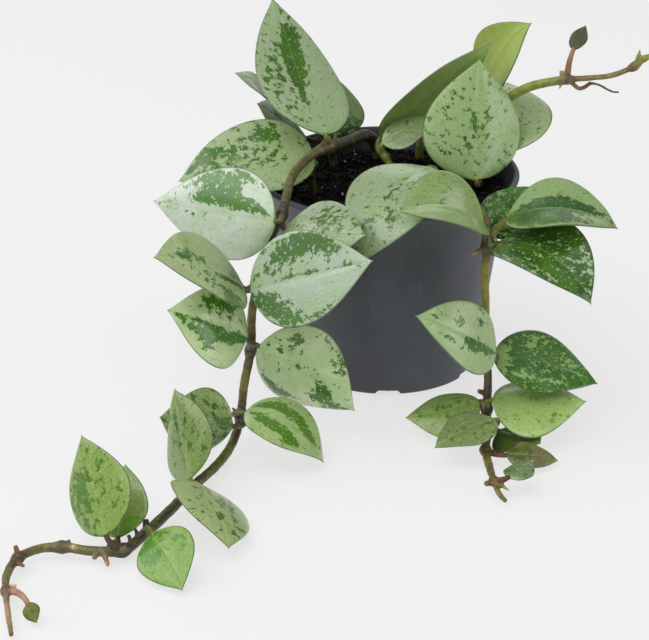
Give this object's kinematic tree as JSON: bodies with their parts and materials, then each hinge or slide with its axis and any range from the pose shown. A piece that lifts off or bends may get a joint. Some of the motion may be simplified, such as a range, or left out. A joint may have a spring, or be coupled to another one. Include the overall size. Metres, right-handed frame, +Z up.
{
  "type": "potted hoya plant",
  "caption": "Silver-leaved hoya in a plain round nursery pot: a rosette of waxy pointed leaves, two vines that trail down and forward over the rim, and a short bare shoot to one side.",
  "frame": {"origin": "centre of the pot's resting face, on the surface that the pot stands on", "axes": "+Z up, -Y towards the front, where both vines trail, +X towards the shoot on the right"},
  "size_m": [0.2396, 0.2772, 0.1448],
  "materials": {
    "pot": "satin",
    "soil": "matte",
    "stem_brown": "satin",
    "stem_olive": "satin",
    "leaf": "satin"
  },
  "bodies": {
    "root": {"pot": "pot", "soil": "soil", "vine_left": "stem_brown", "vine_right": "stem_olive", "shoot_upper_right": "stem_olive", "stem_front": "stem_olive", "stem_centre": "stem_olive", "stem_back_right": "stem_olive", "stem_back_left": "stem_olive", "stem_front_left": "stem_olive", "leaf_left_01": "leaf", "leaf_left_02": "leaf", "leaf_left_03": "leaf", "leaf_left_04": "leaf", "leaf_left_05": "leaf", "leaf_left_06": "leaf", "leaf_left_07": "leaf", "leaf_left_08": "leaf", "leaf_left_09": "leaf", "leaf_left_10": "leaf", "leaf_left_11": "leaf", "leaf_left_12": "leaf", "leaf_left_13": "leaf", "leaf_left_14": "leaf", "leaf_left_15": "leaf", "leaf_left_16": "leaf", "leaf_left_17": "leaf", "leaf_left_18": "leaf", "leaf_left_19": "leaf", "leaf_right_01": "leaf", "leaf_right_02": "leaf", "leaf_right_03": "leaf", "leaf_right_04": "leaf", "leaf_right_05": "leaf", "leaf_right_06": "leaf", "leaf_right_07": "leaf", "leaf_right_08": "leaf", "leaf_right_09": "leaf", "leaf_right_10": "leaf", "leaf_right_11": "leaf", "leaf_centre_01": "leaf", "leaf_centre_02": "leaf", "leaf_centre_03": "leaf", "leaf_centre_04": "leaf", "leaf_centre_05": "leaf", "leaf_centre_06": "leaf", "leaf_centre_07": "leaf", "leaf_shoot_01": "leaf"}
  },
  "joints": []
}
